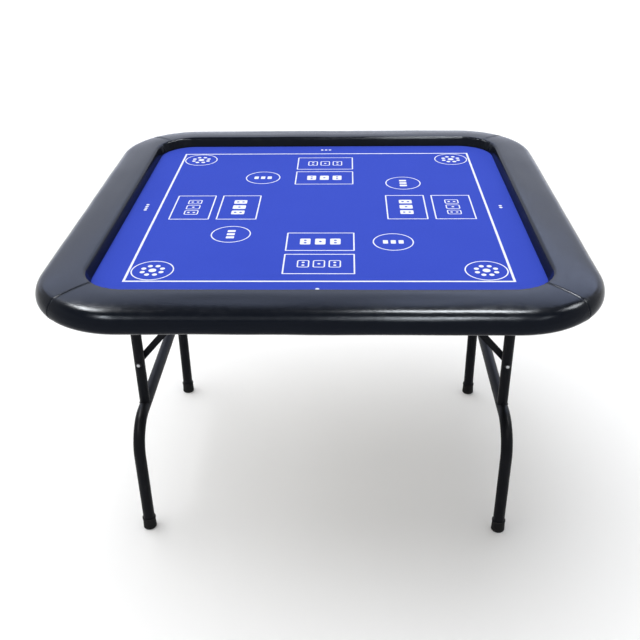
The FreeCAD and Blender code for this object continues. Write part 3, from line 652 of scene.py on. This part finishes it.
def cloth_rest(turn):
    """Points of a panel on the plain section, the same with the padding's sway, and its normals."""
    centre = np.clip(cloth_marks, -CORNER_CENTRE, CORNER_CENTRE)[:, None]
    angle = (cloth_marks[:, None] - centre) / MIDDLE_SPREAD
    reach, level = cloth_skin.T
    plain = rail_place(centre, angle, reach, level)
    tilt, rise = cloth_normals.T
    normals = np.stack(np.broadcast_arrays(tilt * np.sin(angle), -tilt * np.cos(angle), rise), axis=-1)
    drift = sway(plain.reshape(-1, 3), turn).reshape(plain.shape[:2])
    from_seam = cloth_reach - np.abs(cloth_marks)
    drift *= 1 - np.exp(-(from_seam / SWAY_EASE) ** 2)[:, None]
    return plain, plain + normals * drift[:, :, None], normals


def hold_panel(turn):
    """A panel as cloth: fixed at seams, hem and foot, and between them held to the foam and pressed out."""
    plain, rest, normals = cloth_rest(turn)
    rows, columns = rest.shape[:2]
    mesh = bpy.data.meshes.new("settling_panel")
    mesh.from_pydata([tuple(p) for p in rest.reshape(-1, 3)], [], grid_faces(rows, columns))
    panel = bpy.data.objects.new("settling_panel", mesh)
    scene.collection.objects.link(panel)
    fixed = np.full((rows, columns), FOAM_HOLD)
    fixed[[0, -1], :] = 1
    fixed[:, cloth_run < HEM_HELD] = 1
    fixed[:, cloth_run > cloth_run[-1] - FOOT_HELD] = 1
    group = panel.vertex_groups.new(name="fixed")
    for i, weight in enumerate(fixed.ravel()):
        group.add([i], float(weight), "REPLACE")
    cloth = panel.modifiers.new("vinyl", "CLOTH")
    for key, setting in VINYL_CLOTH.items():
        setattr(cloth.settings, key, setting)
    cloth.settings.effector_weights.gravity = 0.0
    cloth.collision_settings.use_collision = False
    cloth.point_cache.frame_end = CLOTH_FRAMES
    return panel, plain, normals


def settle_panels():
    """How far proud of the plain section each panel settles, capped."""
    panels = [hold_panel(turn) for turn in range(4)]
    for step in range(1, CLOTH_FRAMES + 1):
        scene.frame_set(step)
    shapes = bpy.context.evaluated_depsgraph_get()
    proud = []
    for panel, plain, normals in panels:
        settled_mesh = panel.evaluated_get(shapes).data
        spots = np.empty(plain.size)
        settled_mesh.vertices.foreach_get("co", spots)
        move = np.sum((spots.reshape(plain.shape) - plain) * normals, axis=-1)
        proud.append(np.clip(move, -CLOTH_CAP, CLOTH_CAP))
    for panel, _, _ in panels:
        mesh = panel.data
        bpy.data.objects.remove(panel)
        bpy.data.meshes.remove(mesh)
    scene.frame_set(1)
    return proud


panel_rise = settle_panels()


def settled(centre, angle, runs, turn):
    """The settled rise of one panel, by stations and by distances along its section."""
    marks = centre + angle * MIDDLE_SPREAD
    across = np.array([np.interp(runs, cloth_run, row) for row in panel_rise[turn]])
    return np.array([np.interp(marks, cloth_marks, column) for column in across.T]).T


HEM_FLAT = 4 * MM
HEM_EASE = 20 * MM
FOOT_EASE = 10 * MM
FOAM_LIFT = 2 * MM


def rail_layer(depth, turn):
    """The skin of one side, sunk by depth: points by station and by section point."""
    centre, angle = stations[:, :1], stations[:, 1:]
    relief = rail_relief(centre, angle, skin[:, 0], skin[:, 1], turn)
    relief = relief + settled(*stations.T, skin_run, turn)
    free = np.clip((skin_run - HEM_FLAT) / HEM_EASE, 0, 1)
    free = free * np.clip((skin_run[-1] - skin_run) / FOOT_EASE, 0, 1)
    relief = relief * free - depth
    reach = skin[:, 0] + skin_normals[:, 0] * relief
    level = skin[:, 1] + skin_normals[:, 1] * relief
    return rail_place(centre, angle, reach, level)


def make_cover(name, turn):
    """One vinyl panel of the rail, sewn to its neighbours at the corner diagonals."""
    outer = spin(rail_layer(0, turn), turn)
    inner = spin(rail_layer(VINYL_THICK, turn), turn)
    rows, columns = outer.shape[:2]
    count = rows * columns
    faces = grid_faces(rows, columns) + grid_faces(rows, columns, count, flip=True)
    ring = list(range(columns))
    ring += [i * columns + columns - 1 for i in range(1, rows)]
    ring += [(rows - 1) * columns + j for j in range(columns - 2, -1, -1)]
    ring += [i * columns for i in range(rows - 2, 0, -1)]
    for here, after in zip(ring, ring[1:] + ring[:1]):
        faces.append((here, after, after + count, here + count))
    points = np.concatenate([outer.reshape(-1, 3), inner.reshape(-1, 3)])
    cover = new_piece(f"{name}_rail_vinyl", points, faces, "black_vinyl")
    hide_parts(f"{name}_rail_cover")


def make_padding(name, turn):
    """The foam strip under one vinyl panel, cut round the board's edge and the plywood ring."""
    core_far = core_high.x - OPENING_HALF
    core_near = core_far - CORE_WIDTH
    edge = board_high.x - OPENING_HALF
    start = int(np.argmax(skin[:, 0] > edge))
    outer = rail_layer(VINYL_THICK + FOAM_GAP, turn)[:, start:]
    hollow = np.array([
        (core_near, board_high.z), (core_near, core_high.z),
        (core_far, core_high.z), (core_far, board_high.z),
        (edge + FOAM_GAP, board_high.z), (edge + FOAM_GAP, RAIL_BOTTOM + FOAM_LIFT),
    ])
    under = rail_place(stations[:, :1], stations[:, 1:], hollow[:, 0], hollow[:, 1])
    points = spin(np.concatenate([outer, under], axis=1), turn)
    rows, columns = points.shape[:2]
    faces = grid_faces(rows, columns, wrap=True)
    faces += [tuple(range(columns)), tuple(range((rows - 1) * columns, rows * columns))[::-1]]
    padding = new_piece(f"{name}_rail_padding", points.reshape(-1, 3), faces, "foam")
    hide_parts(f"{name}_rail_foam")


RAIL_SIDES = ("front", "right", "rear", "left")
for turns, side_name in enumerate(RAIL_SIDES):
    make_cover(side_name, turns)
    make_padding(side_name, turns)


# Seam stitches
STITCH_LENGTH = 3.4 * MM
STITCH_PITCH = 4.6 * MM
STITCH_THICK = 0.38 * MM
STITCH_SET = 3.6 * MM
STITCH_START = 6 * MM
STITCH_STOP = 22 * MM
STITCH_RISE = (-0.2 * MM, 0.2 * MM, 0.25 * MM, 0.2 * MM, -0.2 * MM)
TIP_SHARE = 0.35


def tube(path, radius, sides=6, taper=True):
    """A round bar along a path with closed ends; returns points and faces."""
    path = np.array(path)
    along = np.gradient(path, axis=0)
    along /= np.linalg.norm(along, axis=1, keepdims=True)
    helper = np.array((0.0, 0.0, 1.0)) if abs(along[0][2]) < 0.9 else np.array((1.0, 0.0, 0.0))
    side = np.cross(along, helper)
    side /= np.linalg.norm(side, axis=1, keepdims=True)
    lift = np.cross(side, along)
    points = []
    for i, spot in enumerate(path):
        share = TIP_SHARE if taper and i in (0, len(path) - 1) else 1.0
        for k in range(sides):
            turn = math.tau * k / sides
            points.append(spot + share * radius * (math.cos(turn) * side[i] + math.sin(turn) * lift[i]))
    faces = grid_faces(len(path), sides, wrap=True, flip=True)
    faces += [tuple(range(sides)), tuple(range((len(path) - 1) * sides, len(path) * sides))[::-1]]
    return points, faces


def joined(bars):
    """Several (points, faces) as one."""
    points, faces = [], []
    for bar_points, bar_faces in bars:
        faces += [tuple(i + len(points) for i in face) for face in bar_faces]
        points += list(bar_points)
    return points, faces


def seam_spot(run, set_back, end, turn, lift):
    """A point on the cover at a distance along its section and from one of its seams."""
    reach = np.interp(run, skin_run, skin[:, 0])
    level = np.interp(run, skin_run, skin[:, 1])
    normal = np.array([np.interp(run, skin_run, skin_normals[:, k]) for k in (0, 1)])
    angle = end * (EIGHTH - set_back / (OPENING_RADIUS + reach))
    centre = end * CORNER_CENTRE
    proud = float(rail_relief(centre, angle, reach, level, turn)) + lift
    proud += settled(np.array([centre]), np.array([angle]), np.array([run]), turn).item()
    return rail_place(centre, angle, reach + normal[0] * proud, level + normal[1] * proud)


def make_stitches(name, turn):
    """Rows of top stitches beside both seams of one panel."""
    bars = []
    first, last = COVER_RETURN + STITCH_START, skin_run[-1] - STITCH_STOP
    for end in (-1, 1):
        for start in np.arange(first, last, STITCH_PITCH):
            marks = start + STITCH_LENGTH * np.linspace(0, 1, len(STITCH_RISE))
            path = [seam_spot(run, STITCH_SET, end, turn, lift) for run, lift in zip(marks, STITCH_RISE)]
            bars.append(tube(path, STITCH_THICK))
    points, faces = joined(bars)
    new_piece(f"{name}_rail_stitches", spin(np.array(points), turn), faces, "black_vinyl", finish=THREAD)


for turns, side_name in enumerate(RAIL_SIDES):
    make_stitches(side_name, turns)


# Playing field
EDGE_RINGS = np.array([0, 1.2, 3, 6, 11, 20, 34]) * MM
INNER_RINGS = np.linspace(0.90, 0.03, 26)
TUCK_WIDTH = 3 * MM
RIPPLE_SCALE = 11.0
RIPPLE_EASE = 30 * MM
CLOTH_TUCK = 1.2 * MM
CLOTH_RIPPLE = 0.15 * MM
UNDERLAY_TUCK = 1.0 * MM
UNDERLAY_GAP = 0.1 * MM


def field_outline(half, radius, straight_steps=24, corner_steps=12):
    """Points round a square with rounded corners, counter-clockwise from the front."""
    flat = half - radius
    points = []
    for turn in range(4):
        side = [(x, -half) for x in np.linspace(-flat, flat, straight_steps + 1)[:-1]]
        side += [(flat + radius * math.sin(a), -flat - radius * math.cos(a))
                 for a in np.linspace(0, QUARTER, corner_steps + 1)[:-1]]
        points.append(spin(np.array([(x, y, 0.0) for x, y in side]), turn))
    return np.concatenate(points)


def make_field_sheet(name, low, high, slot, tuck, ripple):
    """A flat sheet that fills the opening: rings of one outline, with its edge tucked down."""
    half = cloth_high.x
    ring = field_outline(half, OPENING_RADIUS - EDGE_GAP)
    scales = np.concatenate([1 - EDGE_RINGS / half, INNER_RINGS])
    layers = []
    for level, flat in ((high, False), (low, True)):
        rings = np.array([ring * s for s in scales])
        edge = half * (1 - scales)
        rings[:, :, 2] = level
        if not flat:
            rings[:, :, 2] -= (tuck * np.exp(-(edge / TUCK_WIDTH) ** 2))[:, None]
            flow = [[noise.noise(Vector(p) * RIPPLE_SCALE) for p in row] for row in rings]
            rings[:, :, 2] += ripple * (np.array(flow) - 1) * np.clip(edge / RIPPLE_EASE, 0, 1)[:, None]
        layers.append(rings)
    rows, columns = layers[0].shape[:2]
    count = rows * columns
    points = [p for layer in layers for row in layer for p in row]
    points += [(0, 0, high - ripple), (0, 0, low)]
    faces = grid_faces(rows, columns, wrap=True, flip=True) + grid_faces(rows, columns, count, wrap=True)
    for j in range(columns):
        k = (j + 1) % columns
        faces.append((k, j, count + j, count + k))
        faces.append(((rows - 1) * columns + j, (rows - 1) * columns + k, 2 * count))
        faces.append((count + (rows - 1) * columns + k, count + (rows - 1) * columns + j, 2 * count + 1))
    return new_piece(name, points, faces, slot)


field_side = 2 * cloth_high.x
field_area = field_side ** 2 - (4 - math.pi) * (OPENING_RADIUS - EDGE_GAP) ** 2
cloth_levels = (cloth_low.z, cloth_high.z)
cloth = make_field_sheet("printed_cloth", *cloth_levels, "blue_cloth", CLOTH_TUCK, CLOTH_RIPPLE)
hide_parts("playing_cloth")
underlay_levels = (underlay_low.z, underlay_high.z - UNDERLAY_GAP)
cushion = make_field_sheet("cloth_underlay", *underlay_levels, "foam", UNDERLAY_TUCK, 0.0)
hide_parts("underlay")


# Staples that hold the hem of the rail cover to the board
STAPLE_PITCH = 44 * MM
STAPLE_WIDTH = 11 * MM
STAPLE_THICK = 0.55 * MM
STAPLE_SET = 9 * MM
STAPLE_SLANT = 0.25
STAPLE_LEGS = ((-0.5, STAPLE_THICK), (-0.46, 0), (0.46, 0), (0.5, STAPLE_THICK))


def make_staples():
    """Staples along the hem of the four panels, each a little out of line."""
    bars = []
    hem = RAIL_WIDTH - LOW_ROUND - COVER_RETURN + STAPLE_SET
    spread = OPENING_RADIUS + hem
    level = RAIL_BOTTOM - STAPLE_THICK / 2
    side_run = 2 * CORNER_CENTRE + 2 * EIGHTH * spread
    count = round(side_run / STAPLE_PITCH)
    for turn in range(4):
        for i in range(count):
            mark = (i + 0.5) / count * side_run - side_run / 2
            over = max(abs(mark) - CORNER_CENTRE, 0) / spread * np.sign(mark)
            centre = np.clip(mark, -CORNER_CENTRE, CORNER_CENTRE)
            slant = STAPLE_SLANT * math.sin(7.3 * i + 2.2 * turn)
            path = []
            for step, rise in STAPLE_LEGS:
                shift = step * STAPLE_WIDTH
                across = centre + shift * math.cos(over)
                angle = over + shift * math.sin(over) / spread
                path.append(rail_place(across, angle, hem + slant * shift, level + rise))
            bars.append(tube(spin(np.array(path), turn), STAPLE_THICK, taper=False))
    points, faces = joined(bars)
    new_piece("hem_staples", points, faces, "zinc_steel")


make_staples()

# Weld beads of the leg frames
BEAD = 1.7 * MM
BEAD_SIDES = 8
CROSSBAR_POINTS = 72
HINGE_POINTS = 40


def ring_bead(path):
    """A closed bead with the ripple of a hand weld."""
    path = np.array(path)
    count = len(path)
    ahead = np.roll(path, -1, axis=0) - np.roll(path, 1, axis=0)
    ahead /= np.linalg.norm(ahead, axis=1, keepdims=True)
    middle = path.mean(axis=0)
    out = path - middle
    out -= ahead * np.sum(out * ahead, axis=1, keepdims=True)
    out /= np.linalg.norm(out, axis=1, keepdims=True)
    lift = np.cross(ahead, out)
    points = []
    for i in range(count):
        size = BEAD * (1 + 0.16 * math.sin(i * math.tau / 4) + 0.06 * math.sin(i * 1.9))
        for k in range(BEAD_SIDES):
            turn = math.tau * k / BEAD_SIDES
            points.append(path[i] + size * (math.cos(turn) * out[i] + math.sin(turn) * lift[i]))
    faces = grid_faces(count, BEAD_SIDES, wrap=True)
    last = (count - 1) * BEAD_SIDES
    for k in range(BEAD_SIDES):
        after = (k + 1) % BEAD_SIDES
        faces.append((last + k, k, after, last + after))
    return points, faces


def make_welds(side):
    """Beads where the uprights meet the crossbar and the hinge tube."""
    bars = []
    hinge_low, hinge_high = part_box(f"{side}_hinge_tube")
    base_low, base_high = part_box(f"{side}_base_frame")
    base_radius = (base_high.x - base_low.x) / 2
    hinge_radius = (hinge_high.z - hinge_low.z) / 2
    hinge = (hinge_low + hinge_high) / 2
    for end in ("front", "rear"):
        low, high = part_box(f"{side}_{end}_upright")
        middle = (low + high) / 2
        radius = (high.x - low.x) / 2
        crossbar = base_high.z - base_radius
        path = []
        for k in range(CROSSBAR_POINTS):
            turn = math.tau * k / CROSSBAR_POINTS
            x, y = radius * math.cos(turn), radius * math.sin(turn)
            path.append((middle.x + x, middle.y + y, crossbar + math.sqrt(base_radius ** 2 - x ** 2)))
        bars.append(ring_bead(path))
        gap = abs(hinge.x - middle.x)
        inward = np.sign(hinge.x - middle.x)
        width = math.sqrt(radius ** 2 - (gap - hinge_radius) ** 2)
        path = []
        for k in range(HINGE_POINTS):
            turn = math.tau * k / HINGE_POINTS
            y = width * math.cos(turn)
            depth = math.sqrt(radius ** 2 - y ** 2)
            rise = math.sqrt(max(hinge_radius ** 2 - (gap - depth) ** 2, 0)) * np.sign(math.sin(turn))
            path.append((middle.x + inward * depth, middle.y + y, hinge.z + rise))
        bars.append(ring_bead(path))
    points, faces = joined(bars)
    new_piece(f"{side}_leg_welds", points, faces, "black_steel", f"{side}_leg", crease=70)


for leg_side in ("left", "right"):
    make_welds(leg_side)


# Studio
FLOOR_SIZE = 60
KEY_ANGLE = 64
KEY_STRENGTH = 2.2
KEY_FROM = (-0.27, 0.15, 1.0)
WALL_TOP = (0.50, 0.72)
CEILING = 0.24
WHITE = (1.0, 1.0, 1.0)
COOL = (0.72, 0.85, 1.28)
PANEL_LEVEL = 3.3
PANELS = (
    ("rear_panel", (0.66, 0.68), (0.74, 0.80), 125.0),
    ("rear_left_panel", (-1.77, 1.00), (0.48, 1.20), 115.0),
    ("rear_right_panel", (2.95, 0.50), (1.10, 0.80), 52.0),
    ("front_panel", (0.55, -1.75), (0.44, 0.75), 112.0),
    ("front_low_panel", (0.50, -2.50), (0.50, 0.80), 26.0),
    ("front_left_panel", (-1.54, -1.75), (0.26, 0.95), 112.0),
    ("front_right_panel", (2.30, -2.10), (0.60, 1.20), 12.0),
    ("front_strip", (0.0, -2.00), (4.80, 1.40), 1.8),
)
CARD_LEAN = (0.0, 0.81, 0.59)
CARDS = (
    ("rear_card", (0.0, 4.70, 4.13), (12.0, 2.30), 2.25),
    ("rear_right_card", (3.5, 4.60, 4.05), (6.0, 2.30), 1.1),
    ("low_card", (0.0, 4.80, 1.40), (14.0, 3.00), 0.62),
)


def make_floor():
    """A plain pale floor that runs past the edge of the picture."""
    finish = new_finish("pale_floor")
    tone = finish.noise(0.8, 2)
    colour = finish.mix(tone, rgb(0.980, 0.986, 0.995), rgb(0.986, 0.992, 1.0))
    material = finish.surface(Base_Color=colour, Roughness=0.9, Specular_IOR_Level=0.1)
    mesh = bpy.data.meshes.new("floor")
    reach = FLOOR_SIZE / 2
    corners = [(-reach, -reach, 0), (reach, -reach, 0), (reach, reach, 0), (-reach, reach, 0)]
    mesh.from_pydata(corners, [], [(0, 1, 2, 3)])
    mesh.materials.append(material)
    floor = bpy.data.objects.new("floor", mesh)
    scene.collection.objects.link(floor)


def hang(name, kind, toward):
    """A lamp turned so that it shines back from the direction toward."""
    lamp = bpy.data.lights.new(name, kind)
    holder = bpy.data.objects.new(name, lamp)
    holder.rotation_mode = "QUATERNION"
    holder.rotation_quaternion = Vector(toward).to_track_quat("Z", "Y")
    scene.collection.objects.link(holder)
    return lamp, holder


def show(name, spot, size, glow, toward, tint):
    """A panel of one radiance that is seen only in glossy surfaces."""
    lamp, panel = hang(name, "AREA", toward)
    lamp.shape = "RECTANGLE"
    lamp.size, lamp.size_y = size
    lamp.energy = glow * size[0] * size[1] * math.pi
    lamp.color = tint
    panel.location = spot
    panel.visible_camera = False
    panel.visible_diffuse = False


def light_studio():
    """White walls, a darker ceiling and a broad key light; panels and cards show only as reflections."""
    world = bpy.data.worlds.new("studio")
    scene.world = world
    room = Finish(world)
    _, _, rise = room.axes(room.node("ShaderNodeTexCoord", output="Generated"))
    strength = 1 - (1 - CEILING) * room.step(rise, *WALL_TOP)
    walls = room.node("ShaderNodeBackground", inputs={"Color": rgb(*WHITE), "Strength": strength})
    room.node("ShaderNodeOutputWorld", inputs=[walls])
    lamp, key = hang("key", "SUN", KEY_FROM)
    lamp.energy = KEY_STRENGTH
    lamp.angle = math.radians(KEY_ANGLE)
    key.visible_glossy = False
    for name, (x, y), size, glow in PANELS:
        show(name, (x, y, PANEL_LEVEL), size, glow, (0, 0, 1), WHITE)
    for name, spot, size, glow in CARDS:
        show(name, spot, size, glow, CARD_LEAN, COOL)


# Camera, worked out from the photograph's 640 pixel frame
CAMERA_PLACE = (0.05451, -1.90241, 1.51260)
CAMERA_YAW = -0.0339
CAMERA_PITCH = 0.5179
CAMERA_ROLL = -0.0148
FOCUS_PIXELS = 850.03
FRAME_PIXELS = 640
SENSOR = 36.0


def aim_camera():
    """The camera of the photograph."""
    lens = bpy.data.cameras.new("camera")
    lens.sensor_width = SENSOR
    lens.lens = SENSOR * FOCUS_PIXELS / FRAME_PIXELS
    turn = (Matrix.Rotation(-CAMERA_YAW, 3, "Z") @ Matrix.Rotation(QUARTER - CAMERA_PITCH, 3, "X")
            @ Matrix.Rotation(CAMERA_ROLL, 3, "Z"))
    camera = bpy.data.objects.new("camera", lens)
    camera.matrix_world = Matrix.Translation(CAMERA_PLACE) @ turn.to_4x4()
    scene.collection.objects.link(camera)
    scene.camera = camera


make_floor()
light_studio()
aim_camera()
scene.view_settings.view_transform = "Standard"
